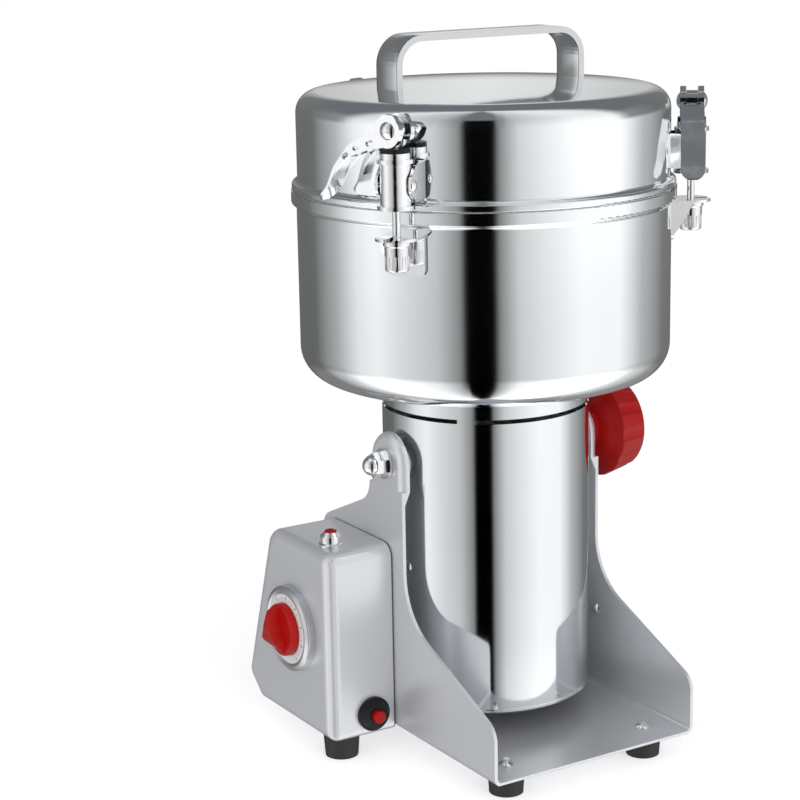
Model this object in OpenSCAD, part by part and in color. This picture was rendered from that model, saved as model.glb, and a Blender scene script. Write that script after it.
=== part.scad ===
// Tilting electric grain mill: a round steel bowl with a clamped lid on top of a
// motor tube, which tips forward between the two arms of a bent sheet cradle.
// +Z is up, +X points along the tilt axis to the red clamp knob, -Y is the open
// front of the cradle. The origin is on the table, on the axis of the motor.

/* [Cradle] */
// Gap between the motor tube and each side arm
arm_gap = 7; // [6:0.5:12]
// Distance from the motor axis to the front edge
cradle_front = 110.5; // [100:0.5:130]
// Distance from the motor axis to the back edge
cradle_back = 97; // [92:1:115]
// Thickness of the cradle sheet
sheet_t = 2; // [1.5:0.1:2.5]
// Height of the floor sheet above the table
floor_z = 14; // [10:1:20]
// Height of the tilt axis above the table
pivot_z = 175.5; // [170:0.5:182]
// Width of each arm at the tilt axis
arm_w = 36; // [32:1:40]
// Depth of the rim that is turned in round the ear of each arm
ear_rim = 3.5; // [2.5:0.5:5]
// Diameter of a rubber foot
foot_d = 21.5; // [16:0.5:26]
// Distance between the two front feet, and between the two back feet
foot_span = 97.5; // [80:0.5:105]
// Distance of the front feet from the motor axis
foot_front = 90.5; // [80:0.5:95]
// Distance of the back feet from the motor axis
foot_back = 76; // [60:1:80]

/* [Control box] */
// How far the box stands out from the arm
box_d = 43.5; // [38:0.5:50]
// Height of the top of the box above the table
box_top = 128; // [116:1:132]
// Height of the bottom of the box above the table
box_bottom = 13; // [11:0.5:13.5]
// Distance from the motor axis back to the front wall of the box
box_front = 6; // [4:0.5:10]
// Distance from the motor axis to the back edge of the box
box_back = 99; // [90:1:110]
// How far the back of the box leans forward at its top
box_lean = 32; // [20:1:40]
// Size of the slanted corner at the bottom of the box's back
box_chin = 13.5; // [8:0.5:20]
// Thickness of the box sheet
box_t = 1.2; // [1:0.1:1.5]
// Diameter of the timer dial
dial_d = 51.5; // [44:0.5:54]
// Diameter of the timer knob
timer_knob_d = 32; // [26:0.5:34]
// Diameter of the reset nut
reset_nut_d = 20.5; // [17:0.5:22]
// Diameter of the reset button
reset_d = 7.6; // [5:0.1:9]
// Travel of the reset button
reset_travel = 3; // [2:0.5:4]
// Diameter of the lamp bezel
lamp_d = 14; // [10:0.5:15]

/* [Motor] */
// Outside diameter of the motor tube
tube_d = 122; // [118:1:123]
// Thickness of the motor tube
tube_t = 1.2; // [0.8:0.1:2]
// Height of the bottom of the motor tube
tube_bottom = 30.5; // [29:0.5:34]
// Height of the top of the motor tube
tube_top = 203.5; // [200:0.5:206]
// Height of the air gap above the motor tube
vent_gap = 2.5; // [1.5:0.5:5]
// Diameter of the motor shaft
shaft_d = 12; // [10:0.5:14]
// Diameter of the armature
armature_d = 54; // [46:1:60]
// Height of the armature and stator cores
core_h = 62; // [50:1:70]
// Number of armature slots
armature_slots = 12; // [8:1:16]
// Number of fan blades
fan_blades = 9; // [6:1:12]
// Diameter of the cooling fan
fan_d = 88; // [70:1:100]
// Height of the cooling fan
fan_h = 9; // [6:0.5:14]

/* [Bowl and lid] */
// Outside diameter of the bowl
bowl_d = 216; // [212:1:220]
// Thickness of the bowl and lid sheet
bowl_t = 1.2; // [1:0.1:2]
// Height of the bottom of the bowl
bowl_bottom = 221; // [216:1:226]
// Radius of the bowl's bottom corner
bowl_corner = 19; // [12:1:28]
// Height of the seam between the bowl and the lid
seam_z = 331; // [325:1:336]
// How far the rims stand out from the bowl
rim_out = 3; // [2:0.5:3.5]
// Height of the bowl's rim band
rim_h = 7.6; // [5:0.2:9]
// Height of the lid's rim roll
lid_rim_h = 4.4; // [3:0.2:6]
// Height of the lid's shoulder line
lid_top = 387; // [380:1:392]
// Shoulder radius of the lid
lid_corner = 12; // [8:1:14]
// Slope at the edge of the domed lid, in degrees
dome_slope = 5.2; // [3:0.1:8]

/* [Handle] */
// Distance between the two legs of the handle
handle_span = 124; // [100:1:140]
// Width of the handle strap
handle_w = 22; // [16:1:28]
// Thickness of the handle strap
handle_t = 3.6; // [2.5:0.1:5]
// Height of the handle above the lid's shoulder line
handle_h = 32.5; // [28:0.5:43]
// Outer radius of the handle's bends
handle_bend = 17; // [10:1:22]

/* [Latches] */
// Direction of the first latch, seen from above
latch_a0 = -146; // [-150:1:-143]
// Distance of the latch rods from the bowl's wall
latch_out = 14; // [13.5:0.5:16]
// Angle by which the levers are turned in towards the lid
latch_yaw = 12; // [6:1:14]
// Height of the lever pin
latch_pin_z = 376; // [374:0.5:380]
// Diameter of the latch tube
latch_tube_d = 16.8; // [16:0.2:18]
// Height of the latch tube between its flanges
latch_tube_h = 22.2; // [20:0.2:22.6]
// Height of the underside of the tube's lower flange
latch_tube_z = 334.4; // [334:0.2:335.6]
// Diameter of the latch rod
rod_d = 4.2; // [3.6:0.1:5]
// Overall width of the lever's channel
lever_w = 13.6; // [12.4:0.2:15]
// Thickness of the lever sheet
lever_t = 2; // [1.5:0.1:2.6]
// Height of the catch's slotted tab
catch_z = 319.4; // [316:0.2:320.4]
// Diameter of the thumb nut's collar
nut_d = 15.2; // [14:0.2:17]
// Height of the thumb nut
nut_h = 16.6; // [12:0.2:18]

/* [Tilt clamp] */
// Largest diameter of the clamp knob
clamp_d = 62; // [52:0.5:66]
// Length of the gripped part of the clamp knob
clamp_len = 20; // [16:0.5:24]
// Length of the hub behind the gripped part
clamp_hub = 9.5; // [8:0.5:14]
// Diameter of the pivot studs
stud_d = 8; // [6:0.5:10]

/* [Blades] */
// Overall length of the upper blade
blade_len = 188; // [150:1:196]
// Overall length of the lower blade
low_blade_len = 169; // [140:1:190]
// Width of a blade
blade_w = 24; // [16:1:30]
// Thickness of a blade
blade_t = 3; // [2:0.5:4]
// Height of the lower blade above the bottom of the bowl
blade_rise = 22; // [16:0.5:30]
// Height of the upper blade above the lower one
blade_step = 11; // [8:0.5:20]
// Length of the bent end of the upper blade
wing = 30; // [20:1:50]
// Length of the bent end of the lower blade
low_wing = 34; // [20:1:50]

/* [Fits] */
// Radial clearance of a turning fit
run_c = 0.05; // [0.02:0.01:0.09]
// Clearance between pieces that only pass each other
pass_c = 0.3; // [0.2:0.05:0.4]
// Clearance of a loose hole round a rod or screw
hole_c = 0.4; // [0.2:0.1:0.6]

/* [Hidden] */
$fn = 96;
eps = 0.01;
arm_in = tube_d / 2 + arm_gap;
arm_x = arm_in + sheet_t;
ear_r = arm_w / 2;
ear_edge = 5;
ear_low = 161.5;
rim_run = 8;
tube_r = tube_d / 2;
bowl_r = bowl_d / 2;
lid_r = bowl_r - 0.8;
box_x = arm_x + box_d;
box_edge = 7;
timer_case = 40;
timer_deep = 22;
lid_seat = seam_z + pass_c;
core_z = 96;
core_top = core_z + core_h;
stator_r = tube_r - tube_t - 3;
bore_r = armature_d / 2 + 0.6;
winding_r = bore_r + 12;
lower_bearing_z = 56;
upper_bearing_z = 190;
bearing_h = 11;
bearing_r = 15;
plate_h = 4;
coil_h = 12;
fan_z = core_top + coil_h + 3;
fan_t = 2;
fan_hub = 14;
bars_h = 16.9;
bars_r = 13;
bars_z = core_z - 26;
brush_w = 10;
shaft_r = shaft_d / 2;
neck_z = tube_top + vent_gap;
dome_r = (lid_r - lid_corner) / sin(dome_slope) + lid_corner;
dome_mid = lid_top - lid_corner - (lid_r - lid_corner) / tan(dome_slope);
dome_edge = dome_r * sin(dome_slope);
lid_crown = dome_mid + dome_r;
handle_top = lid_top + handle_h;
latch_r = bowl_r + latch_out;
tube_flange = 2.2;
tube_lip = 1.7;
tube_hi = latch_tube_z + 2 * tube_flange + latch_tube_h;
cap_h = 3.2;
washer_h = 2.4;
cap_top = tube_hi + cap_h + washer_h;
eye_r = 6;
pin_r = 2.5;
cam_gap = pass_c + 0.1;
cam_e = 0.7;
cam_turn = 30;
lever_open = 120;
cam_r = latch_pin_z - cap_top - cam_gap - cam_e * cos(cam_turn);
catch_t = 1.5;
nut_top = catch_z - catch_t - 0.2;
dial_y = 35.5;
dial_z = 74;
dial_h = 6.5;
dial_face = 5.5;
reset_out = 15.5;
reset_x = arm_x + reset_out;
reset_z = 27;
lamp_out = 30;
lamp_x = arm_x + lamp_out;
lamp_y = 13;
blade_z = bowl_bottom + blade_rise;
upper_blade_z = blade_z + blade_step;
wing_lift = 6;
low_wing_lift = 24;
hub_r = 12;
blade_nut_h = 8;
seal_r = 17;
seal_h = 3;
seal_top = bowl_bottom + bowl_t + seal_h;

// ---- helpers ----

function unit(v) = v / norm(v);

// Outline with its corners rounded: each point is [x, y, corner radius].
function round_outline(pts, steps = 8) = [
    for (i = [0 : len(pts) - 1])
        let (n = len(pts),
             b = [pts[i][0], pts[i][1]],
             a = [pts[(i + n - 1) % n][0], pts[(i + n - 1) % n][1]],
             c = [pts[(i + 1) % n][0], pts[(i + 1) % n][1]],
             r = pts[i][2],
             u = unit(a - b),
             v = unit(c - b),
             half = acos(u * v) / 2,
             p = b + u * r / tan(half),
             q = b + v * r / tan(half),
             m = b + unit(u + v) * r / sin(half),
             a0 = atan2(p[1] - m[1], p[0] - m[0]),
             a1 = atan2(q[1] - m[1], q[0] - m[0]),
             turn = (a1 - a0 + 540) % 360 - 180)
            for (k = [0 : r > 0 ? steps : 0])
                r > 0 ? m + r * [cos(a0 + turn * k / steps), sin(a0 + turn * k / steps)] : b];

// Lays an outline drawn in Y and Z on its side and gives it a thickness in X.
module across(x0, x1) {
    translate([x0, 0, 0]) rotate([90, 0, 90]) linear_extrude(x1 - x0) children();
}

// Cylinder along X from x0 to x1.
module x_rod(x0, x1, r) {
    translate([x0, 0, 0]) rotate([0, 90, 0]) cylinder(h = x1 - x0, r = r);
}

// Ring standing on z0.
module ring(z0, h, ro, ri) {
    translate([0, 0, z0]) difference() {
        cylinder(h = h, r = ro);
        translate([0, 0, -1]) cylinder(h = h + 2, r = ri);
    }
}

// Puts what is drawn at the pivot on the tilt axis.
module at_pivot() { translate([0, 0, pivot_z]) children(); }

// Puts what is drawn with +X outward and +Z up at latch number k.
module at_latch(k) { rotate([0, 0, latch_a0 + 120 * k]) children(); }

module at_latches() { for (k = [0 : 2]) at_latch(k) children(); }

// Puts what is drawn round the rod at latch number k, turned with its lever.
module at_rod(k) { at_latch(k) translate([latch_r, 0, 0]) rotate([0, 0, -latch_yaw]) children(); }

// Rod through r = latch_r at a latch.
module latch_axis(z0, z1, r) { translate([latch_r, 0, z0]) cylinder(h = z1 - z0, r = r); }

// ---- cradle ----

// Side view of the bent sheet: sweeping arms up to the tilt axis.
module side_outline() {
    polygon(round_outline([
        [-cradle_front, floor_z, 1],
        [cradle_back, floor_z, 12],
        [cradle_back - 24, 127.3, 12],
        [ear_r, ear_low - 10, 15],
        [ear_r, pivot_z, 0],
        [-ear_r, pivot_z, 0],
        [-ear_r, 87.5, 38],
        [-cradle_front, 47.5, 12]]));
    translate([0, pivot_z]) circle(ear_r);
}

// Front view of the channel, with bent lower corners.
module channel_outline(half_w, bottom, r) {
    translate([-half_w + r, bottom]) square([2 * (half_w - r), r]);
    translate([-half_w, bottom + r]) square([2 * half_w, 220]);
    for (s = [-1, 1]) translate([s * (half_w - r), bottom + r]) circle(r);
}

// Half section of the cupped ear: w is the distance from the arm's middle line.
module ear_section(grow) {
    low = arm_in - ear_rim - grow;
    polygon(round_outline([
        [0, low, 0], [ear_r - grow, low, 0],
        [ear_r - grow, arm_x - grow, ear_edge - grow], [0, arm_x - grow, 0]]));
}

module ear_cup_section() {
    difference() {
        ear_section(0);
        translate([-eps, -eps]) ear_section(sheet_t);
        translate([-10, 0]) square([10, 2 * arm_x]);
    }
}

// The cup that is pressed round the top of the right arm.
module ear_cup() {
    at_pivot() rotate([0, 90, 0]) rotate([0, 0, 90]) rotate_extrude(angle = 180)
        ear_cup_section();
    for (m = [0, 1]) mirror([0, m, 0])
        translate([0, 0, ear_low]) linear_extrude(pivot_z - ear_low)
            rotate([0, 0, 90]) mirror([0, 1, 0]) ear_cup_section();
}

// Tails of the rim, which run out along both edges of the arm below the ear.
module rim_tails() {
    intersection() {
        across(arm_in - ear_rim, arm_in + eps) for (s = [-1, 1]) difference() {
            side_outline();
            translate([s * sheet_t, 0]) side_outline();
        }
        rotate([90, 0, 0]) translate([0, 0, -50]) linear_extrude(100) polygon([
            [arm_in + 1, ear_low - rim_run], [arm_in + 1, ear_low],
            [arm_in - ear_rim, ear_low], [arm_in, ear_low - rim_run]]);
    }
}

// Places of the screws in the arms: the left ones hold the control box.
box_screws = [[-1, 110], [48, 26]];
arm_stop = [-18.8, 65.2];
arm_screw_d = 4;

module base_bracket() {
    color([0.72, 0.73, 0.75]) difference() {
        union() {
            intersection() {
                rotate([90, 0, 0]) translate([0, 0, -cradle_back - 1])
                    linear_extrude(cradle_front + cradle_back + 2) difference() {
                        channel_outline(arm_x, floor_z, 5);
                        channel_outline(arm_in, floor_z + sheet_t, 5 - sheet_t);
                    }
                across(-arm_x - 1, arm_x + 1) difference() {
                    side_outline();
                    translate([-ear_r - 5, ear_low]) square([2 * ear_r + 10, 100]);
                }
            }
            for (m = [0, 1]) mirror([m, 0, 0]) {
                ear_cup();
                rim_tails();
            }
        }
        at_pivot() x_rod(-arm_x - 5, arm_x + 5, stud_d / 2 + run_c);
        for (y = [-foot_front, foot_back], x = [-1, 1])
            translate([x * foot_span / 2, y, 0]) cylinder(h = 40, r = 2.5);
        for (p = box_screws) translate([0, p[0], p[1]]) x_rod(-arm_x - 5, 0, arm_screw_d / 2);
        translate([0, arm_stop[0], arm_stop[1]]) x_rod(0, arm_x + 5, arm_screw_d / 2);
        translate([0, dial_y, dial_z + 35]) x_rod(-arm_x - 5, 0, 6);
    }
}

box_foot = [-(box_x - 14.5), 8];

module at_feet() {
    for (y = [-foot_front, foot_back], x = [-1, 1])
        translate([x * foot_span / 2, y, floor_z]) children();
}

module foot(h) {
    difference() {
        union() {
            cylinder(h = h, r1 = foot_d / 2 - 1, r2 = foot_d / 2);
        }
        translate([0, 0, -1]) cylinder(h = 5, r = 4.4);
        cylinder(h = h + 1, r = 2.1);
    }
}

module rubber_feet() {
    color([0.07, 0.07, 0.07]) {
        at_feet() translate([0, 0, -floor_z]) foot(floor_z);
        translate(box_foot) foot(box_bottom);
    }
}

module foot_screw(h) {
    translate([0, 0, 4 - h]) cylinder(h = h + 1.5, r = 2);
    translate([0, 0, sheet_t]) intersection() {
        cylinder(h = 2.4, r = 4.2);
        translate([0, 0, -3.2]) sphere(5.6);
    }
}

module foot_screws() {
    color([0.85, 0.85, 0.86]) {
        at_feet() foot_screw(13);
        translate([box_foot[0], box_foot[1], box_bottom + box_t - sheet_t]) foot_screw(11);
    }
}

// Round-headed screw with its head inside the right arm; long is how far it sticks out of the arm.
module arm_screw(long) {
    x_rod(arm_in - 1, arm_x + long, arm_screw_d / 2 - 0.15);
    intersection() {
        x_rod(arm_in - 2.2, arm_in, 3.6);
        translate([arm_in + 2, 0, 0]) sphere(4.2);
    }
}

module arm_screws() {
    color([0.8, 0.8, 0.82]) {
        mirror([1, 0, 0]) for (p = box_screws) translate([0, p[0], p[1]]) arm_screw(7);
        translate([0, arm_stop[0], arm_stop[1]]) arm_screw(0);
    }
}

// ---- control box ----

// Side view of the box; inset shrinks it by the sheet's thickness.
module box_outline(inset) {
    polygon(round_outline([
        [-box_front + inset, box_bottom + inset, 5 - inset],
        [box_back - box_chin - inset, box_bottom + inset, 6 - inset],
        [box_back - inset, box_bottom + box_chin + inset / 2, 9 - inset],
        [box_back - box_lean - inset, box_top - inset, 13 - inset],
        [-box_front + inset, box_top - inset, 8 - inset]], 6));
}

module box_cover() {
    color([0.74, 0.75, 0.77]) difference() {
        box_shell(0, -arm_x - 0.1);
        box_shell(box_t, -arm_x + 1);
        translate([-box_x, dial_y, dial_z]) x_rod(-5, 10, 5);
        translate([-lamp_x, lamp_y, box_top - 10]) cylinder(h = 20, r = lamp_d / 2 - 1.6);
        translate([-reset_x, 5, reset_z]) rotate([90, 0, 0]) cylinder(h = 20, r = 6.1);
        translate([-arm_x - 18, 80, 40]) rotate([-76, 0, 0]) cylinder(h = 30, r = 6.1);
        translate(box_foot) cylinder(h = 30, r = 2.3);
    }
}

// Drawn cover: the outline run out to the rounded outer face.
module box_shell(inset, x1) {
    soft = box_edge - inset;
    across(-box_x + box_edge, x1) box_outline(inset);
    hull() {
        across(-box_x + box_edge, -box_x + box_edge + eps) box_outline(inset);
        for (a = [15 : 15 : 90])
            across(-box_x + box_edge - soft * sin(a), -box_x + box_edge - soft * sin(a) + eps)
                box_outline(inset + soft * (1 - cos(a)));
    }
}

module timer_body() {
    color([0.85, 0.83, 0.75]) {
        translate([-box_x + box_t, dial_y, dial_z]) difference() {
            union() {
                translate([0, -timer_case / 2, -timer_case / 2]) cube([timer_deep, timer_case, timer_case]);
                x_rod(-box_t - 3, 1, 4.6);
            }
            x_rod(-12, 14, 3 + run_c);
        }
    }
}

module timer_dial() {
    rim = dial_d / 2;
    color([0.9, 0.9, 0.9]) translate([-box_x, dial_y, dial_z]) rotate([0, -90, 0])
        rotate_extrude() polygon(round_outline([
            [4.8, 0, 0], [rim, 0, 0], [rim, dial_h - 1.6, 1.2], [rim - 2.8, dial_h, 1.4],
            [rim - 4.6, dial_face, 0.3], [4.8, dial_face, 0]], 5));
}

knob_base = dial_face + pass_c;
skirt_h = 4.6;
grip_h = 13.2;

// Side view of the knob's grip: tall at its pointer, sloping down to its tail.
module grip_side(r) {
    polygon(round_outline([
        [-r + 1, 0, 0], [-r + 2.4, 3.4, 3], [-6, grip_h - 1.4, 7], [4, grip_h, 9],
        [r - 2.4, grip_h - 1.6, 4.5], [r, 5, 4], [r, 0, 0]], 6));
}

// Front view of the grip: a pointer at the top that widens towards its tail.
module grip_face(r) {
    polygon(round_outline([
        [-0.8, r, 0.4], [-3.2, 3, 22], [-8.4, -6, 5], [-5, -r + 1.6, 4],
        [5, -r + 1.6, 4], [8.4, -6, 5], [3.2, 3, 22], [0.8, r, 0.4]], 6));
}

module timer_knob() {
    r = timer_knob_d / 2;
    color([0.8, 0.08, 0.06]) translate([-box_x, dial_y, dial_z]) {
        translate([-knob_base, 0, 0]) rotate([0, -90, 0]) rotate_extrude() polygon(round_outline([
            [0.01, 0, 0], [r, 0, 0.4], [r - 0.5, skirt_h, 1.6], [0.01, skirt_h + 1.6, 0]], 6));
        intersection() {
            rotate([0, 0, 180]) translate([knob_base + 0.2, 0, 0]) rotate([90, 0, 0])
                translate([0, 0, -r]) linear_extrude(2 * r) rotate([0, 0, 90]) mirror([0, 1, 0]) grip_side(r);
            rotate([0, 0, 180]) across(0, 30) grip_face(r);
        }
        x_rod(-knob_base - 1, 12, 3);
    }
}

lamp_h = 8.5;

module lamp_bezel() {
    r = lamp_d / 2;
    color([0.85, 0.85, 0.86]) translate([-lamp_x, lamp_y, box_top]) rotate_extrude() polygon([
        [r - 3.2, -12], [r - 1.7, -12], [r - 1.7, 0], [r, 0], [r, 1.4], [r - 0.9, 2.2],
        [r - 0.9, lamp_h - 2.6], [r - 2.9, lamp_h], [r - 3.2, lamp_h]]);
}

module lamp_lens() {
    r = lamp_d / 2 - 3.25;
    color([0.85, 0.1, 0.05]) translate([-lamp_x, lamp_y, box_top]) rotate_extrude() polygon(round_outline([
        [0.01, -6, 0], [r, -6, 0], [r, lamp_h + 0.8, 1.4], [0.01, lamp_h + 1.6, 0]], 5));
}

module at_reset() { translate([-reset_x, -box_front, reset_z]) rotate([90, 0, 0]) children(); }

module breaker_body() {
    color([0.12, 0.12, 0.12]) at_reset() difference() {
        union() {
            translate([-11, -8, -26]) cube([22, 16, 26 - box_t]);
            translate([0, 0, -box_t - 1]) cylinder(h = box_t + 4, r = 5.9);
        }
        translate([0, 0, -12]) cylinder(h = 20, r = reset_d / 2 + run_c + 0.02);
    }
}

module reset_nut() {
    color([0.05, 0.05, 0.05]) at_reset() difference() {
        union() {
            cylinder(h = 2.4, r = reset_nut_d / 2);
            translate([0, 0, 2.4]) cylinder(h = 3.4, r1 = reset_nut_d / 2 - 0.8, r2 = reset_nut_d / 2 - 3);
        }
        translate([0, 0, -1]) cylinder(h = 4.2, r = 6);
        cylinder(h = 10, r = reset_d / 2 + 0.3);
    }
}

module reset_button() {
    color([0.8, 0.1, 0.06]) at_reset() {
        translate([0, 0, -6]) cylinder(h = 14.4, r = reset_d / 2);
        translate([0, 0, 8.4]) cylinder(h = 1, r1 = reset_d / 2, r2 = reset_d / 2 - 1);
    }
}

module cord_gland() {
    color([0.06, 0.06, 0.06]) translate([-arm_x - 18, 80, 40]) rotate([-76, 0, 0]) difference() {
        union() {
            translate([0, 0, 9]) cylinder(h = 9, r = 5.9);
            translate([0, 0, 17.1]) cylinder(h = 3, r = 9);
        }
        cylinder(h = 40, r = 4);
    }
}

// ---- motor housing ----

module motor_tube() {
    color([0.82, 0.83, 0.85]) difference() {
        union() {
            ring(tube_bottom, tube_top - tube_bottom, tube_r, tube_r - tube_t);
            ring(tube_bottom, 1.4, tube_r + 0.5, tube_r - tube_t);
        }
        at_pivot() x_rod(-tube_r - 5, tube_r + 5, stud_d / 2 + 0.1);
    }
}

module bottom_cover() {
    color([0.3, 0.3, 0.31]) difference() {
        union() {
            ring(tube_bottom - 1.2, 1.2, tube_r - 0.4, 6);
            ring(tube_bottom - 0.1, 9, tube_r - tube_t - 0.02, tube_r - tube_t - 1.2);
        }
        for (a = [0 : 22.5 : 337.5]) rotate([0, 0, a])
            translate([22, -2, tube_bottom - 3]) cube([26, 4, 4]);
    }
}

neck_tab_a = -13.6;
neck_tab_turn = 11;
neck_t = 3;

// Collar under the bowl: three tabs carry it on the tube and leave a gap for air.
module neck_ring() {
    sleeve = tube_r - tube_t - 0.02;
    color([0.8, 0.81, 0.83]) {
        ring(neck_z, bowl_bottom - neck_z, tube_r, tube_r - neck_t);
        for (a = [0 : 120 : 240]) rotate([0, 0, neck_tab_a + a - neck_tab_turn / 2])
            rotate_extrude(angle = neck_tab_turn) polygon([
                [sleeve - 1.4, tube_top - 8], [sleeve, tube_top - 8], [sleeve, tube_top],
                [tube_r - 0.1, tube_top], [tube_r - 0.1, neck_z + 0.1], [sleeve - 1.4, neck_z + 0.1]]);
    }
}

module pivot_bosses() {
    color([0.7, 0.7, 0.72]) for (m = [0, 1]) mirror([m, 0, 0]) difference() {
        at_pivot() x_rod(tube_r - 8, arm_in - pass_c, 12);
        translate([0, 0, pivot_z - 20]) cylinder(h = 40, r = tube_r);
        at_pivot() x_rod(0, arm_x, stud_d / 2 + run_c);
    }
    color([0.7, 0.7, 0.72]) for (m = [0, 1]) mirror([m, 0, 0]) difference() {
        at_pivot() x_rod(tube_r - 10, tube_r, 9);
        difference() {
            translate([0, 0, pivot_z - 20]) cylinder(h = 40, r = tube_r + 5);
            translate([0, 0, pivot_z - 21]) cylinder(h = 42, r = tube_r - tube_t - 0.01);
        }
        at_pivot() x_rod(0, arm_x, stud_d / 2 + run_c);
    }
}

module pivot_stud() {
    color([0.8, 0.8, 0.8]) at_pivot() x_rod(-arm_x - 10, -tube_r + 9.5, stud_d / 2);
}

module pivot_cap_nut() {
    color([0.85, 0.85, 0.86]) at_pivot() difference() {
        union() {
            x_rod(-arm_x - 1.9, -arm_x - pass_c, 9);
            x_rod(-arm_x - 8.6, -arm_x - 1.8, 7.5, $fn = 6);
            translate([-arm_x - 8.5, 0, 0]) intersection() {
                sphere(5.9);
                x_rod(-7, 1, 8);
            }
        }
        x_rod(-arm_x - 10.01, 0, stud_d / 2);
    }
}

// ---- clamp knob ----

clamp_x = arm_x + pass_c;
knob_x = clamp_x + clamp_hub;
flutes = 12;
flute_r = 10;
flute_depth = 0.8;

stud_end = knob_x + 12;

// Grip that tapers to the front, with a hollow funnel of a back that runs down to a hub.
module clamp_knob() {
    r0 = clamp_d / 2;
    r1 = r0 - 4;
    front = clamp_hub + clamp_len;
    lean = atan((r0 - r1) / clamp_len);
    color([0.72, 0.06, 0.05]) at_pivot() translate([clamp_x, 0, 0]) rotate([0, 90, 0]) difference() {
        rotate_extrude() polygon(round_outline([
            [0.01, 0, 0], [9.5, 0, 0.8], [10.5, clamp_hub * 0.45, 5], [r0 - 8, clamp_hub - 1.2, 12],
            [r0, clamp_hub, 1], [r1, front, 5], [r1 - 12, front + 0.8, 2], [0.01, front + 0.9, 0]], 6));
        for (a = [0 : 360 / flutes : 359]) rotate([0, 0, a])
            translate([r0 + flute_r - flute_depth, 0, clamp_hub]) rotate([0, -lean, 0])
                translate([0, 0, -8]) cylinder(h = clamp_len + 20, r = flute_r);
        translate([0, 0, -1]) cylinder(h = stud_end - clamp_x + 1, r = stud_d / 2);
    }
}

module clamp_stud() {
    color([0.8, 0.8, 0.8]) at_pivot() x_rod(tube_r - 9.5, stud_end, stud_d / 2);
}

// ---- motor ----

// End plate: a spider of four arms that carries a bearing.
module end_plate(z, bearing_z, up) {
    difference() {
        union() {
            ring(z, plate_h, tube_r - tube_t - 0.02, tube_r - 14);
            for (a = [45, 135]) rotate([0, 0, a])
                translate([-(tube_r - 10), -9, z]) cube([2 * (tube_r - 10), 18, plate_h]);
            translate([0, 0, min(z, bearing_z)]) cylinder(h = bearing_h + 3, r = bearing_r + 5);
        }
        translate([0, 0, bearing_z + (up ? 0 : 3)]) cylinder(h = bearing_h, r = bearing_r);
        translate([0, 0, bearing_z - 5]) cylinder(h = bearing_h + 20, r = bearing_r - 5);
        at_pivot() x_rod(-tube_r, tube_r, 13);
    }
}

module upper_end_plate() {
    color([0.6, 0.61, 0.63]) end_plate(upper_bearing_z, upper_bearing_z, true);
}

module lower_end_plate() {
    color([0.6, 0.61, 0.63]) end_plate(lower_bearing_z, lower_bearing_z, false);
}

module ball_bearings() {
    color([0.75, 0.75, 0.77]) {
        ring(upper_bearing_z, bearing_h, bearing_r, shaft_r + run_c);
        ring(lower_bearing_z + 3, bearing_h, bearing_r, shaft_r + run_c);
    }
}

module stator_core() {
    color([0.35, 0.35, 0.37]) difference() {
        translate([0, 0, core_z]) cylinder(h = core_h, r = stator_r);
        translate([0, 0, core_z - 1]) cylinder(h = core_h + 2, r = bore_r);
        for (a = [0, 180]) rotate([0, 0, a]) translate([0, 0, core_z - 1]) intersection() {
            cylinder(h = core_h + 2, r = winding_r);
            translate([0, -100, 0]) cube([100, 200, 100]);
            rotate([0, 0, -30]) translate([-100, 0, 0]) cube([200, 100, 100]);
            rotate([0, 0, 30]) translate([-100, -100, 0]) cube([200, 100, 100]);
        }
        for (a = [0 : 90 : 270]) rotate([0, 0, a])
            translate([stator_r - 2, -8, core_z - 1]) cube([8, 16, core_h + 2]);
    }
}

module stator_windings() {
    color([0.72, 0.38, 0.16]) for (z = [core_z - coil_h - 0.2, core_top + 0.2])
        ring(z, coil_h, winding_r - 1, bore_r + 3);
}

module armature_core() {
    color([0.4, 0.4, 0.42]) difference() {
        translate([0, 0, core_z]) cylinder(h = core_h, r = armature_d / 2);
        translate([0, 0, core_z - 1]) cylinder(h = core_h + 2, r = shaft_r);
        for (a = [0 : 360 / armature_slots : 359]) rotate([0, 0, a])
            translate([armature_d / 2 - 9, -1.5, core_z - 1]) cube([20, 3, core_h + 2]);
    }
}

module armature_windings() {
    color([0.75, 0.4, 0.17]) {
        ring(core_z - coil_h + 3, coil_h - 3, armature_d / 2 - 4, shaft_r);
        ring(core_top, coil_h - 1, armature_d / 2 - 4, shaft_r);
    }
}

module commutator() {
    color([0.7, 0.42, 0.25]) ring(bars_z, bars_h, bars_r, shaft_r);
}

module carbon_brushes() {
    color([0.2, 0.2, 0.2]) for (a = [0, 180]) rotate([0, 0, a]) difference() {
        translate([bars_r + 0.1, -brush_w / 2, bars_z + 4])
            cube([tube_r - tube_t - bars_r - 0.5, brush_w, brush_w - 1]);
        difference() {
            cylinder(h = bars_z + 100, r = tube_r + 5);
            translate([0, 0, -1]) cylinder(h = bars_z + 102, r = tube_r - tube_t - 0.3);
        }
    }
}

module cooling_fan() {
    color([0.15, 0.15, 0.16]) difference() {
        union() {
            ring(fan_z, fan_t, fan_d / 2, shaft_r);
            ring(fan_z, fan_h, fan_hub, shaft_r);
            for (a = [0 : 360 / fan_blades : 359]) rotate([0, 0, a])
                translate([fan_hub - 2, -fan_t / 2, fan_z + fan_t / 2])
                    cube([fan_d / 2 - fan_hub + 1, fan_t, fan_h - fan_t / 2]);
        }
        translate([0, 0, fan_z - 1]) cylinder(h = fan_h + 2, r = shaft_r);
    }
}

shaft_top = upper_blade_z + blade_t + blade_nut_h + 4;

module motor_shaft() {
    color([0.78, 0.78, 0.8]) {
        translate([0, 0, lower_bearing_z + 1]) cylinder(h = shaft_top - lower_bearing_z - 1, r = shaft_r);
    }
}

// ---- bowl and blades ----

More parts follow.
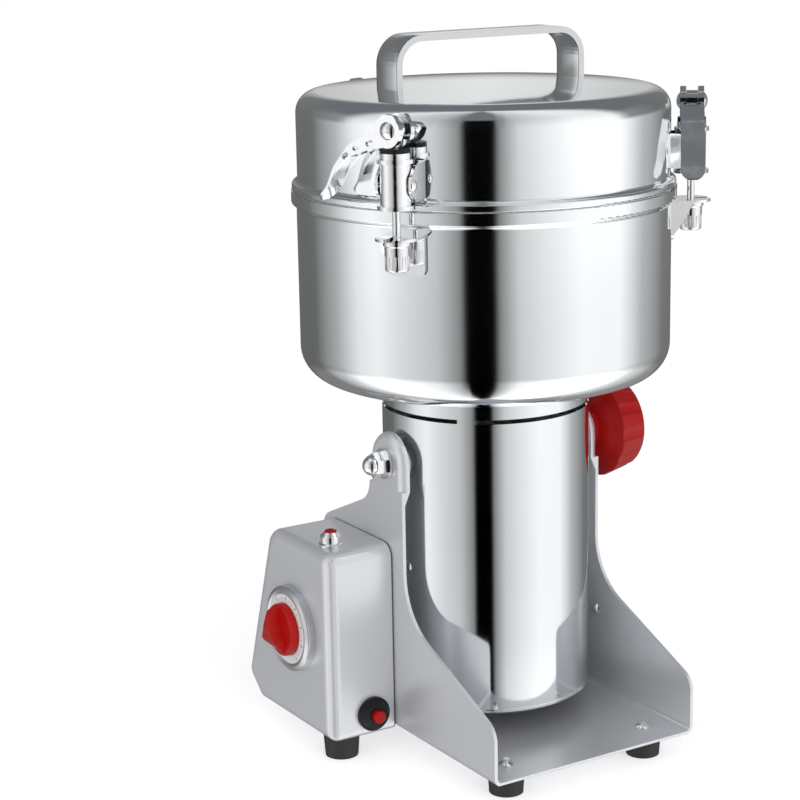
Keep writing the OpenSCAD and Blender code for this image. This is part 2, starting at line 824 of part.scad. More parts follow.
// Half section of a can with a rounded bottom corner, standing on z = 0.
module can_section(r, h, corner) {
    square([r - corner, h]);
    translate([0, corner]) square([r, h - corner]);
    translate([r - corner, corner]) circle(corner);
}

module right_half(h) { translate([0, -h]) square([300, 3 * h]); }

// Hollow corner of radius r that fills the angle between a wall on its left and a shelf below.
module fillet(r) {
    difference() {
        translate([-0.5, -0.5]) square(r + 0.5);
        translate([r, r]) circle(r);
    }
}

module bowl() {
    color([0.85, 0.86, 0.87]) difference() {
        translate([0, 0, bowl_bottom]) rotate_extrude() intersection() {
            right_half(200);
            difference() {
                union() {
                    can_section(bowl_r, seam_z - bowl_bottom, bowl_corner);
                    translate([bowl_r - 2, seam_z - bowl_bottom - rim_h]) {
                        translate([0, 1.5]) square([rim_out + 2, rim_h - 1.7]);
                        square([rim_out + 0.5, rim_h]);
                        translate([rim_out + 0.5, 1.5]) circle(1.5);
                        translate([rim_out + 1, rim_h - 1]) circle(1);
                        translate([2, 0]) mirror([0, 1]) fillet(rim_out - 1);
                    }
                }
                translate([0, bowl_t]) can_section(bowl_r - bowl_t, 200, bowl_corner - bowl_t);
            }
        }
        translate([0, 0, bowl_bottom - 1]) cylinder(h = 10, r = seal_r);
        for (a = [45 : 90 : 315]) rotate([0, 0, a])
            translate([tube_r - 1.5 - 8, 0, bowl_bottom - 1]) cylinder(h = 10, r = 2.1);
    }
}

module bowl_screws() {
    color([0.75, 0.75, 0.76]) for (a = [45 : 90 : 315]) rotate([0, 0, a])
        translate([tube_r - 1.5 - 8, 0, 0]) {
            translate([0, 0, upper_bearing_z + plate_h + 0.2])
                cylinder(h = bowl_bottom + bowl_t - upper_bearing_z - plate_h, r = 2);
            translate([0, 0, bowl_bottom + bowl_t]) cylinder(h = 2.6, r = 3.8);
        }
}

module shaft_seal() {
    color([0.1, 0.1, 0.1]) {
        ring(bowl_bottom - 4, seal_top - bowl_bottom + 4, seal_r - 0.1, shaft_r + run_c);
        ring(bowl_bottom + bowl_t, seal_h, seal_r + 4, shaft_r + run_c);
    }
}

// Flat blade whose ends are bent up by an angle, length along X.
module blade(len, w, lift, wing) {
    flat = len / 2 - wing;
    tip = flat + wing * cos(lift);
    rise = wing * sin(lift);
    difference() {
        translate([0, w / 2, 0]) rotate([90, 0, 0]) linear_extrude(w) polygon([
            [-flat, 0], [flat, 0], [tip, rise], [tip, rise + blade_t],
            [flat - 1, blade_t], [-flat + 1, blade_t], [-tip, rise + blade_t], [-tip, rise]]);
        for (a = [0, 180]) rotate([0, 0, a]) translate([flat + 2, -w / 2, -5]) rotate([0, 0, 16])
            translate([-4, -20, 0]) cube([wing + 20, 20, 60]);
        translate([0, 0, -1]) cylinder(h = blade_t + 2, r = shaft_r);
    }
}

module lower_blade() {
    color([0.8, 0.8, 0.82]) translate([0, 0, blade_z]) rotate([0, 0, 70])
        blade(low_blade_len, blade_w, low_wing_lift, low_wing);
}

module upper_blade() {
    color([0.8, 0.8, 0.82]) translate([0, 0, upper_blade_z]) rotate([0, 0, -20])
        blade(blade_len, blade_w, wing_lift, wing);
}

module blade_spacer() {
    color([0.75, 0.75, 0.77]) {
        ring(seal_top + 0.5, blade_z - seal_top - 0.5, hub_r, shaft_r);
        ring(blade_z + blade_t, blade_step - blade_t, hub_r - 1, shaft_r);
    }
}

module blade_nut() {
    color([0.75, 0.75, 0.77]) translate([0, 0, upper_blade_z + blade_t]) difference() {
        union() {
            cylinder(h = blade_nut_h, r = hub_r - 1, $fn = 6);
            cylinder(h = 1.5, r = hub_r + 0.5);
        }
        translate([0, 0, -1]) cylinder(h = blade_nut_h + 4, r = shaft_r);
    }
}

// ---- lid ----

// Half section of the lid's outside or inside; inset shrinks it.
module lid_section(inset) {
    intersection() {
        translate([0, dome_mid]) circle(dome_r - inset, $fn = 360);
        translate([0, lid_seat - 1]) square([dome_edge, 100]);
    }
    translate([0, lid_seat - 1]) square([lid_r - inset, lid_top - lid_corner - lid_seat + 1]);
    translate([lid_r - lid_corner, lid_top - lid_corner]) intersection() {
        circle(lid_corner - inset);
        square(lid_corner);
    }
}

module lid() {
    color([0.85, 0.86, 0.87]) rotate_extrude() difference() {
        union() {
            intersection() {
                lid_section(0);
                translate([0, lid_seat]) square([200, 200]);
            }
            translate([lid_r - 2, lid_seat]) {
                translate([0, 1]) square([rim_lip + 2, lid_rim_h - 2.6]);
                square([rim_lip + 0.4, lid_rim_h]);
                translate([rim_lip + 1, 1]) circle(1);
                translate([rim_lip + 0.4, lid_rim_h - 1.6]) circle(1.6);
                translate([2, lid_rim_h]) fillet(rim_lip - 1);
            }
        }
        lid_section(bowl_t);
    }
}

module lid_gasket() {
    in_r = bowl_r - bowl_t - 3;
    low_r = bowl_r - bowl_t - 0.1;
    high_r = lid_r - bowl_t - 0.1;
    color([0.9, 0.9, 0.88]) rotate_extrude() polygon([
        [in_r, seam_z - 7], [low_r, seam_z - 7], [low_r, seam_z], [bowl_r + 1, seam_z],
        [bowl_r + 1, lid_seat], [high_r, lid_seat], [high_r, lid_seat + 4], [in_r, lid_seat + 4]]);
}

module lid_handle() {
    leg_z = dome_mid + sqrt(dome_r * dome_r - pow(handle_span / 2 + handle_t, 2) - pow(handle_w / 2, 2));
    half = handle_span / 2 + handle_t / 2;
    color([0.82, 0.83, 0.84]) difference() {
        rotate([90, 0, 0]) translate([0, 0, -handle_w / 2]) linear_extrude(handle_w) difference() {
            polygon(round_outline([
                [-half, leg_z - 1, 0], [half, leg_z - 1, 0],
                [half, handle_top, handle_bend], [-half, handle_top, handle_bend]], 10));
            polygon(round_outline([
                [-half + handle_t, leg_z - 2, 0], [half - handle_t, leg_z - 2, 0],
                [half - handle_t, handle_top - handle_t, handle_bend - handle_t],
                [-half + handle_t, handle_top - handle_t, handle_bend - handle_t]], 10));
        }
        translate([0, 0, dome_mid]) rotate([0, 0, 0]) rotate_extrude()
            intersection() {
                circle(dome_r, $fn = 360);
                translate([0, dome_r - 40]) square([90, 100]);
            }
    }
}

// ---- latches ----

// The brackets' ears stand close to the tube, between its two flanges.
ear_gap = latch_tube_d / 2 + 0.5;
ear_sheet = 1.5;
rim_lip = bowl_r + rim_out - 0.5 - lid_r;
bracket_low = lid_seat + lid_rim_h + rim_lip - 1 + pass_c;
bracket_h = tube_hi - tube_flange - pass_c - bracket_low;
rivet_z = latch_tube_z + 12.6;
rivet_r = 1.7;

module at_rivet() { translate([latch_r, 0, rivet_z]) rotate([90, 0, 0]) children(); }

module lid_bracket() {
    wide = ear_gap + ear_sheet;
    edge = sqrt(lid_r * lid_r - wide * wide) + 0.3;
    nose = latch_r + 3.4;
    intersection() {
        ring(bracket_low, bracket_h, lid_r + 0.6, lid_r);
        translate([lid_r - 8, -wide, bracket_low - 1]) cube([20, 2 * wide, bracket_h + 2]);
    }
    for (s = [-1, 1]) difference() {
        translate([0, s * (ear_gap + ear_sheet / 2), 0]) rotate([90, 0, 0])
            translate([0, 0, -ear_sheet / 2]) linear_extrude(ear_sheet) polygon(round_outline([
                [edge, bracket_low, 0], [latch_r - 3, bracket_low, 4],
                [nose, rivet_z - 4, 3.4], [nose, rivet_z + 4, 3.4],
                [latch_r - 3, bracket_low + bracket_h - 1, 4], [edge, bracket_low + bracket_h, 0]], 5));
        at_rivet() cylinder(h = 40, r = rivet_r, center = true);
    }
}

module lid_brackets() { color([0.8, 0.81, 0.82]) at_latches() lid_bracket(); }

module bracket_rivets() {
    color([0.85, 0.85, 0.86]) at_latches() for (m = [0, 1]) mirror([0, m, 0]) at_rivet() {
        translate([0, 0, latch_tube_d / 2 - 0.6]) cylinder(h = 3, r = rivet_r);
        translate([0, 0, ear_gap + ear_sheet]) intersection() {
            cylinder(h = 1.6, r = 2.9);
            translate([0, 0, -2.5]) sphere(4);
        }
    }
}

module latch_tube() {
    difference() {
        union() {
            latch_axis(latch_tube_z, tube_hi, latch_tube_d / 2);
            latch_axis(latch_tube_z, latch_tube_z + tube_flange, latch_tube_d / 2 + tube_lip);
            latch_axis(tube_hi - tube_flange, tube_hi, latch_tube_d / 2 + tube_lip);
        }
        latch_axis(latch_tube_z + tube_flange, tube_hi + 1, latch_tube_d / 2 - 1.2);
        latch_axis(latch_tube_z - 1, tube_hi, rod_d / 2 + hole_c);
        at_rivet() cylinder(h = 40, r = rivet_r, center = true);
    }
}

module latch_tubes() { color([0.86, 0.86, 0.88]) at_latches() latch_tube(); }

module latch_caps() {
    color([0.86, 0.86, 0.88]) at_latches() difference() {
        union() {
            latch_axis(tube_hi, tube_hi + cap_h, latch_tube_d / 2);
            latch_axis(tube_hi - 5, tube_hi + 0.1, latch_tube_d / 2 - 1.4);
        }
        latch_axis(tube_hi - 6, cap_top + 1, rod_d / 2 + hole_c);
    }
}

// Dark washer on each cap, on which the lever's head slides.
module latch_washers() {
    color([0.08, 0.08, 0.08]) at_latches() difference() {
        latch_axis(tube_hi + cap_h, cap_top, latch_tube_d / 2 - 0.2);
        latch_axis(tube_hi, cap_top + 1, rod_d / 2 + hole_c);
    }
}

// Points of one ring of a coil spring's wire.
function coil_ring(angle, pitch, r, wire) = [
    for (j = [0 : 5])
        [(r + wire * cos(60 * j)) * cos(angle),
         (r + wire * cos(60 * j)) * sin(angle),
         pitch * angle / 360 + wire * sin(60 * j)]];

module coil(turns, pitch, r, wire, per_turn) {
    steps = turns * per_turn;
    points = [for (i = [0 : steps]) each coil_ring(i * 360 / per_turn, pitch, r, wire)];
    sides = [for (i = [0 : steps - 1], j = [0 : 5])
        each [[6 * i + j, 6 * i + 6 + j, 6 * i + 6 + (j + 1) % 6],
              [6 * i + j, 6 * i + 6 + (j + 1) % 6, 6 * i + (j + 1) % 6]]];
    ends = [[for (j = [0 : 5]) j], [for (j = [5 : -1 : 0]) 6 * steps + j]];
    polyhedron(points, concat(sides, ends), convexity = 10);
}

module latch_springs() {
    free = tube_hi - 5 - latch_tube_z - tube_flange;
    color([0.6, 0.6, 0.62]) at_latches()
        translate([latch_r, 0, latch_tube_z + tube_flange + 0.9]) coil(4, (free - 1.8) / 4, 5.4, 0.8, 14);
}

// Catch on the bowl: a plate with a forked shelf, braced on one side.
module latch_catch() {
    half = 11.5;
    plate_half = 10.8;
    base_z = catch_z - 22.8;
    wall = bowl_r;
    brace_t = 1.6;
    slot = rod_d / 2 + hole_c;
    shelf_z = catch_z - catch_t;
    difference() {
        union() {
            across(wall - 4, wall + 2) polygon(round_outline([
                [-plate_half, base_z, 3], [plate_half, base_z, 3],
                [plate_half, catch_z - eps, 0], [-plate_half, catch_z - eps, 0]], 5));
            translate([0, 0, shelf_z]) linear_extrude(catch_t) difference() {
                polygon(round_outline([
                    [wall - 4, -half, 0], [latch_r + half, -half, half - 0.5],
                    [latch_r + half, half, half - 0.5], [wall - 4, half, 0]], 10));
                polygon(round_outline([
                    [latch_r - slot, -slot, slot - 0.05], [latch_r + 2 * half, -slot, 0],
                    [latch_r + 2 * half, slot, 0], [latch_r - slot, slot, slot - 0.05]], 8));
            }
            translate([0, -plate_half + brace_t, 0]) rotate([90, 0, 0]) linear_extrude(brace_t) polygon([
                [wall - 2, base_z + 3], [wall + 2, base_z + 3],
                [latch_r - 5, catch_z - 10], [latch_r - 1, shelf_z + eps], [wall - 2, shelf_z + eps]]);
        }
        translate([0, 0, base_z - 1]) cylinder(h = 60, r = wall + 0.02, $fn = 720);
    }
}

module latch_catches() { color([0.8, 0.81, 0.82]) at_latches() latch_catch(); }

eye_w = 6.4;

module latch_rod(k) {
    color([0.82, 0.82, 0.84]) at_rod(k) difference() {
        union() {
            translate([0, 0, nut_top - nut_h + 2])
                cylinder(h = latch_pin_z - 3 - nut_top + nut_h - 2, r = rod_d / 2);
            translate([0, 0, latch_pin_z]) rotate([0, 90, 0]) cylinder(h = eye_w, r = eye_r, center = true);
        }
        translate([0, 0, latch_pin_z]) rotate([0, 90, 0]) cylinder(h = 10, r = pin_r + run_c, center = true);
    }
}

knurl_h = nut_h * 0.52;
knurls = 24;

// Thumb nut: a rounded collar, a smooth neck and a knurled grip.
module latch_nut(k) {
    body_r = nut_d / 2 - 0.8;
    color([0.84, 0.84, 0.86]) at_rod(k) translate([0, 0, nut_top - nut_h]) difference() {
        rotate_extrude() polygon(round_outline([
            [rod_d / 2, 0, 0], [body_r - 0.4, 0, 1.4], [body_r, nut_h - 3, 0.4],
            [nut_d / 2, nut_h - 2.6, 0.8], [nut_d / 2, nut_h, 0.8], [rod_d / 2, nut_h, 0]], 5));
        for (a = [0 : 360 / knurls : 359]) rotate([0, 0, a])
            translate([body_r + 0.1, 0, -1]) cylinder(h = knurl_h + 1, r = 0.5);
    }
}

// The lever's upper and lower edges, seen from outside: distance along the lever
// from its pin, height from the pin and corner radius.
head_top = [[-7.2, 1.9, 0], [-4.6, 8, 3.2], [3.6, 8.8, 5]];
lever_upper = [[9, -0.8, 6], [25.5, -8.2, 9], [36, -20.5, 14], [41, -31.5, 10], [48.2, -39.2, 0.5]];
lever_lower = [[47, -39.9, 0.5], [40.4, -32.8, 8], [34.5, -22.6, 16], [27, -15.2, 14], [14, -10.9, 8], [2, -8.6, 0]];
slots = [[11.8, -7, -22], [20.6, -9.8, -17], [28, -14.3, -41]];
web_shift = [-1.1, -1.4];
web_start = 11;
lever_end = -40;

module lever_strip() { polygon(round_outline(concat(head_top, lever_upper, lever_lower), 4)); }

module lever_outline() {
    lever_strip();
    rotate([0, 0, -90 + cam_turn]) translate([cam_e, 0]) circle(cam_r);
}

// What is hollow between the lever's cheeks: all but the web along its upper edge.
module lever_hollow() {
    difference() {
        translate([-20, -60]) square([100, 100]);
        difference() {
            lever_strip();
            translate(web_shift) lever_strip();
            translate([-30, -30]) square([30 + web_start, 60]);
        }
    }
}

// Lever in its closed place: a channel with thick rounded bosses at its head.
module latch_lever(k) {
    boss = lever_w / 2 - eye_w / 2 - pass_c;
    tip_r = lever_w / 2 + 0.6;
    color([0.83, 0.83, 0.85]) at_rod(k) translate([0, 0, latch_pin_z]) rotate([90, 0, -90]) {
        difference() {
            translate([0, 0, -lever_w / 2]) linear_extrude(lever_w) lever_outline();
            translate([0, 0, -lever_w / 2 + lever_t]) linear_extrude(lever_w - 2 * lever_t) difference() {
                lever_hollow();
                circle(cam_r + 0.6);
            }
            translate([0, 0, -lever_w / 2 + boss]) linear_extrude(lever_w - 2 * boss) lever_hollow();
            for (p = slots) translate([p[0], p[1], -lever_w]) rotate([0, 0, p[2]]) linear_extrude(2 * lever_w)
                for (s = [-1, 1]) translate([s * 0.9, 0]) circle(1.5);
            translate([30, 0, 0]) rotate([0, 90, 0]) linear_extrude(30) difference() {
                translate([-lever_w, lever_end - 2]) square([2 * lever_w, tip_r + 2]);
                translate([0, lever_end + tip_r]) circle(tip_r);
            }
        }
        translate([0, 0, -lever_w / 2 - 0.1]) cylinder(h = lever_w + 0.2, r = pin_r);
        for (m = [0, 1]) mirror([0, 0, m]) translate([0, 0, lever_w / 2]) intersection() {
            cylinder(h = 2.2, r = 4.7);
            translate([0, 0, -4.2]) sphere(6.4);
        }
    }
}

base_bracket();
rubber_feet();
foot_screws();
arm_screws();
box_cover();
timer_body();
timer_dial();
timer_knob();
lamp_bezel();
lamp_lens();
breaker_body();
reset_nut();
reset_button();
cord_gland();
motor_tube();
bottom_cover();
neck_ring();
pivot_bosses();
pivot_stud();
pivot_cap_nut();
clamp_knob();
clamp_stud();
upper_end_plate();
lower_end_plate();
stator_core();
stator_windings();
carbon_brushes();
ball_bearings();
motor_shaft();
armature_core();
armature_windings();
commutator();
cooling_fan();
bowl();
bowl_screws();
shaft_seal();
lower_blade();
blade_spacer();
upper_blade();
blade_nut();
lid();
lid_gasket();
lid_handle();
lid_brackets();
bracket_rivets();
latch_tubes();
latch_caps();
latch_washers();
latch_springs();
latch_catches();
latch_rod(0);  // latch_rod_1
latch_nut(0);  // latch_nut_1
latch_lever(0);  // latch_lever_1
latch_rod(1);  // latch_rod_2
latch_nut(1);  // latch_nut_2
latch_lever(1);  // latch_lever_2
latch_rod(2);  // latch_rod_3
latch_nut(2);  // latch_nut_3
latch_lever(2);  // latch_lever_3
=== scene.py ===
# %% [markdown]
# A tilting grain mill is polished steel, painted steel and a little red plastic.
# The imported parts already have the right shapes, so this lesson loads them first, and
# measures a part's outer box where a finish needs one.

# %% Load the parts
import bpy
import math
from mathutils import Matrix, Vector


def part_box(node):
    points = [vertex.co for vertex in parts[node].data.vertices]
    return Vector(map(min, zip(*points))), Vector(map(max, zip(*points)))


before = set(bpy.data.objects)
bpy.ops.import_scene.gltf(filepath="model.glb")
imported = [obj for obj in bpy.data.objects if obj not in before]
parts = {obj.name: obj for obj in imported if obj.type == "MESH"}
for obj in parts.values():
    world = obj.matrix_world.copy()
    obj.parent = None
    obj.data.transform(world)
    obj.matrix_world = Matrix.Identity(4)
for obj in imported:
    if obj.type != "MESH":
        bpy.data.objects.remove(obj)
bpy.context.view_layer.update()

# %% [markdown]
# Blender draws a surface finish as a graph of nodes. Written with plain Python sums it
# stays readable, so one small class wraps a socket and turns +, -, * and / into Math
# nodes.

# %% A socket that does sums
class Wire:
    """An output socket of a node, on which numbers can be worked out."""
    def __init__(self, bench, socket):
        self.bench = bench
        self.socket = socket

    def sum(self, operation, *others):
        values = dict(enumerate((self,) + others))
        return self.bench.node("ShaderNodeMath", {"operation": operation}, values)

    def __add__(self, other): return self.sum("ADD", other)
    def __radd__(self, other): return self.sum("ADD", other)
    def __sub__(self, other): return self.sum("SUBTRACT", other)
    def __rsub__(self, other): return self.bench.number("SUBTRACT", other, self)
    def __mul__(self, other): return self.sum("MULTIPLY", other)
    def __rmul__(self, other): return self.sum("MULTIPLY", other)
    def __truediv__(self, other): return self.sum("DIVIDE", other)
    def __rtruediv__(self, other): return self.bench.number("DIVIDE", other, self)
    def __abs__(self): return self.sum("ABSOLUTE")
    def __lt__(self, other): return self.sum("LESS_THAN", other)
    def __gt__(self, other): return self.sum("GREATER_THAN", other)


print("sockets can now be added, multiplied and compared")

# %% [markdown]
# Every other node is placed by one method of a bench: it takes the node's type, then its
# settings, and last the values or links of its sockets. Short helpers on the bench cover
# what nearly every finish needs, which is a place on the part, grain and a soft step.

# %% The bench on which nodes are placed
RAMP_START = 0.5
MIX_COLOURS = (6, 7)
MIX_RESULT = 2


class Bench:
    """The node graph of one material or of the world."""
    def __init__(self, tree):
        self.tree = tree
        tree.nodes.clear()

    def node(self, kind, settings=None, inputs=None, output=0):
        """Adds a node and gives back one of its outputs as a Wire."""
        made = self.tree.nodes.new(kind)
        for name, value in (settings or {}).items():
            if name == "stops":
                self.fill_ramp(made.color_ramp, value)
            else:
                setattr(made, name, value)
        for name, value in (inputs or {}).items():
            if isinstance(value, Wire):
                self.tree.links.new(value.socket, made.inputs[name])
            else:
                made.inputs[name].default_value = value
        return Wire(self, made.outputs[output]) if len(made.outputs) else None

    def fill_ramp(self, ramp, stops):
        """Gives a colour ramp its greys: stops are pairs of a place and a grey."""
        while len(ramp.elements) < len(stops):
            ramp.elements.new(RAMP_START)
        for element, (place, grey) in zip(ramp.elements, stops):
            element.position = place
            element.color = (grey, grey, grey, 1)

    def number(self, operation, *values):
        return self.node("ShaderNodeMath", {"operation": operation}, dict(enumerate(values)))

    def blend(self, amount, first, second, mode="MIX"):
        """Mixes two colours: the first where amount is 0, the second where it is 1."""
        settings = {"data_type": "RGBA", "blend_type": mode}
        inputs = {0: amount, MIX_COLOURS[0]: first, MIX_COLOURS[1]: second}
        return self.node("ShaderNodeMix", settings, inputs, MIX_RESULT)

    def stretch(self, x, y, z):
        """The place on the part, with this many grains per metre along x, y and z."""
        place = self.node("ShaderNodeTexCoord", output="Object")
        inputs = {0: place, 1: (x, y, z)}
        return self.node("ShaderNodeVectorMath", {"operation": "MULTIPLY"}, inputs)

    def xyz(self, of="Object"):
        """Three Wires: the place on the part in metres, or a direction in the world."""
        place = self.node("ShaderNodeTexCoord", output=of)
        split = self.node("ShaderNodeSeparateXYZ", inputs={0: place}).socket.node
        return [Wire(self, split.outputs[i]) for i in range(3)]

    def grain(self, place, detail=2.0, rough=0.5):
        """Noise from 0 to 1, with finer grain inside it for a higher detail."""
        inputs = {"Vector": place, "Scale": 1.0, "Detail": detail, "Roughness": rough}
        return self.node("ShaderNodeTexNoise", {}, inputs)

    def ease(self, value, low, high):
        """0 below low and 1 above high, with a soft step between."""
        settings = {"interpolation_type": "SMOOTHSTEP"}
        return self.node("ShaderNodeMapRange", settings, {0: value, 1: low, 2: high})


print("bench ready, with ramps, mixes, grain and soft steps")

# %% [markdown]
# A finish is a bench that owns a material and its Principled shader. What is the same all
# over a surface is set on the shader's own socket, and what changes over it arrives there
# as a Wire. A part then wears one finish.

# %% A finish, and how a part wears it
class Finish(Bench):
    def __init__(self, name, colour, rough, **fixed):
        self.material = bpy.data.materials.new(name)
        self.material.use_nodes = True
        super().__init__(self.material.node_tree)
        self.shader = self.node("ShaderNodeBsdfPrincipled").socket.node
        self.node("ShaderNodeOutputMaterial", {}, {0: Wire(self, self.shader.outputs[0])})
        self.set("Base Color", colour)
        self.set("Roughness", rough)
        for socket, value in fixed.items():
            self.set(socket.replace("_", " "), value)

    def set(self, socket, value):
        if isinstance(value, Wire):
            self.tree.links.new(value.socket, self.shader.inputs[socket])
        else:
            if hasattr(value, "__len__") and len(value) == 3:
                value = (*value, 1.0)
            self.shader.inputs[socket].default_value = value

    def bump(self, height, depth, strength=1.0):
        """Makes the surface look raised by height times depth, in metres."""
        inputs = {"Height": height, "Distance": depth, "Strength": strength}
        self.set("Normal", self.node("ShaderNodeBump", {}, inputs))
        return self


def wear(finish, *names):
    """Puts a finish on parts: wear(finish, "lid", "bowl")."""
    for name in names:
        mesh = parts[name].data
        mesh.materials.clear()
        mesh.materials.append(finish.material)
    print(finish.material.name, "on", len(names), "parts")


print("finishes go onto", len(parts), "parts")

# %% [markdown]
# The bowl, lid and tube are stainless sheet, spun and then polished to a mirror. A real
# mirror finish is never perfect: the buffing wheel leaves faint rings, and the sheet is
# not quite flat, so reflections bend a little. The rings are grain stretched round the
# axis, which drives roughness, and the waves are a broad, very shallow bump.

# %% Mirror-polished sheet
SMOOTHEST = 0.02
WAVE_DEPTH = 0.0012
steel = Finish("Mirror steel", (0.86, 0.87, 0.885), SMOOTHEST, Metallic=1.0)
rings = steel.grain(steel.stretch(14, 14, 2600), 3.0)
smears = steel.grain(steel.stretch(22, 22, 9), 4.0, 0.6)
steel.set("Roughness", SMOOTHEST + rings * 0.05 + smears * 0.06)
tint = steel.blend(smears, (0.86, 0.895, 0.915, 1), (0.95, 0.975, 0.985, 1))
steel.set("Base Color", tint)
waves = steel.grain(steel.stretch(9, 9, 16), 1.0)
steel.bump(waves * 0.7 + rings * 0.004, WAVE_DEPTH, 0.35)
wear(steel, "bowl", "lid", "motor_tube", "neck_ring")

# %% [markdown]
# The latches and small fittings are plated. Plating is as bright as the sheet, but a
# small stamped piece carries tool marks and tiny pits that catch the light.

# %% Bright plating
plating = Finish("Bright plating", (0.9, 0.91, 0.93), 0.1, Metallic=1.0)
pits = plating.grain(plating.stretch(900, 900, 900), 3.0)
drawn = plating.grain(plating.stretch(160, 160, 160), 3.0, 0.6)
plating.set("Roughness", 0.04 + drawn * 0.14)
plating.set("Base Color", plating.blend(drawn, (0.84, 0.85, 0.87, 1), (0.98, 0.98, 0.985, 1)))
PIT_DEPTH = 0.0001
plating.bump(drawn + pits * 0.3, PIT_DEPTH, 0.5)
latches = [f"latch_{piece}_{k}" for k in (1, 2, 3) for piece in ("rod", "nut", "lever")]
wear(plating, *latches, "latch_tubes", "latch_caps", "lid_brackets", "latch_catches",
     "bracket_rivets", "pivot_cap_nut", "lamp_bezel", "foot_screws", "arm_screws", "bowl_screws")

# %% [markdown]
# The handle is bent from polished strip, with fine scratches along its length. Rolled
# strip is a little crowned: its middle stands proud, so the edges reflect other things.
# The crown falls off with the square of the distance from the middle line. The corners
# carry a painted dark band: painted shade that stands in for the dark reflection along rounded
# edges. The cut edge between them is painted a little greyer than the faces, which is painted
# shade too.

# %% Brushed strip
strip = Finish("Brushed strip", (0.78, 0.79, 0.81), 0.2, Metallic=1.0)
brushed = strip.grain(strip.stretch(30, 900, 30), 3.0)
cloud = strip.grain(strip.stretch(45, 45, 45), 3.0)
strip.set("Roughness", 0.05 + brushed * 0.10 + cloud * 0.06)
CROWN = 9.7
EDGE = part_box("lid_handle")[1].y
SHADED_CORNER_WIDTH, CORNER_LINE, HAIR = 0.0014, 0.0002, 0.00002
_, off_middle, _ = strip.xyz()
crown = off_middle * off_middle * -CROWN
# Painted shade: the corners are darkened to stand in for the dark reflection along rounded
# edges.
corner = strip.ease(abs(off_middle), EDGE - SHADED_CORNER_WIDTH, EDGE - CORNER_LINE)
cut = abs(off_middle) > EDGE - HAIR
bright = strip.blend(cloud, (0.80, 0.82, 0.84, 1), (0.94, 0.95, 0.96, 1))
shaded_corners = strip.blend(corner, bright, (0.30, 0.31, 0.33, 1))
# Painted shade: the cut edge is painted grey to stand in for its dimmer reflection.
strip.set("Base Color", strip.blend(cut, shaded_corners, (0.56, 0.57, 0.59, 1)))
SCRATCH_DEPTH = 0.00008
strip.bump(crown + (brushed * 0.5 + cloud) * SCRATCH_DEPTH, 1.0)
wear(strip, "lid_handle")

# %% [markdown]
# The cradle and control box are bent sheet, sprayed silver. Silver paint is grey pigment
# with aluminium flakes: half metal, half paint, with a fine orange-peel skin. Along the
# box cover's edge at the arm, a thin dark band is painted shade, standing in for the shade in
# the gap between cover and arm.

# %% Silver paint
paint = Finish("Silver paint", (0.7, 0.71, 0.73), 0.33, Metallic=0.5)
peel = paint.grain(paint.stretch(420, 420, 420), 2.0)
flakes = paint.grain(paint.stretch(3800, 3800, 3800), 1.0)
dust = paint.grain(paint.stretch(18, 18, 18), 4.0, 0.6)
shade = paint.blend(flakes, (0.64, 0.65, 0.68, 1), (0.80, 0.81, 0.84, 1))
coat = paint.blend(dust * 0.35, shade, (0.66, 0.67, 0.69, 1))
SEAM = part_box("box_cover")[1].x
SEAM_WIDTH, SEAM_OVERLAP = 0.0008, 0.00004
sideways, _, _ = paint.xyz()
# Painted shade: a thin dark band along the cover's edge stands in for the shade in the gap at
# the arm.
painted_gap_shade = (sideways > SEAM - SEAM_WIDTH) * (sideways < SEAM + SEAM_OVERLAP)
paint.set("Base Color", paint.blend(painted_gap_shade, coat, (0.09, 0.09, 0.10, 1)))
paint.set("Roughness", 0.26 + peel * 0.08 + dust * 0.07)
PEEL_DEPTH = 0.00006
paint.bump(peel + flakes * 0.12, PEEL_DEPTH, 0.6)
wear(paint, "base_bracket", "box_cover")

# %% [markdown]
# The knobs, the button and the lamp are red, and smaller pieces are black or cream.
# Moulded plastic is glossy, with a faint unevenness left by the mould, so one function
# makes them all and only the colour and the gloss differ.

# %% Moulded plastic
MOULD_DEPTH = 0.00008


def moulded(name, colour, deep, rough):
    """Plastic of two near colours mixed in clouds, where deep is the darker one."""
    plastic = Finish(name, colour, rough, Specular_IOR_Level=0.22)
    cloudy = plastic.grain(plastic.stretch(60, 60, 60), 3.0)
    skin = plastic.grain(plastic.stretch(1400, 1400, 1400), 2.0)
    plastic.set("Base Color", plastic.blend(cloudy, (*deep, 1), (*colour, 1)))
    plastic.set("Roughness", rough + cloudy * 0.08 + skin * 0.04)
    return plastic.bump(skin * 0.3 + cloudy, MOULD_DEPTH, 0.5)


red = moulded("Red plastic", (0.46, 0.008, 0.007), (0.36, 0.004, 0.004), 0.24)
wear(red, "clamp_knob", "timer_knob", "reset_button")
lens = moulded("Red lens", (0.42, 0.010, 0.012), (0.25, 0.004, 0.005), 0.05)
wear(lens, "lamp_lens")
black = moulded("Black plastic", (0.012, 0.012, 0.013), (0.006, 0.006, 0.007), 0.30)
wear(black, "reset_nut", "breaker_body", "cooling_fan", "latch_washers")
cream = moulded("Cream plastic", (0.74, 0.71, 0.60), (0.66, 0.63, 0.52), 0.35)
wear(cream, "timer_body")

# %% [markdown]
# Feet, gland and seals are rubber: rough, and dusty at a fine scale. The lid's gasket is
# white silicone, which has the same skin in another colour.

# %% Rubber
BLOOM_DEPTH = 0.0001


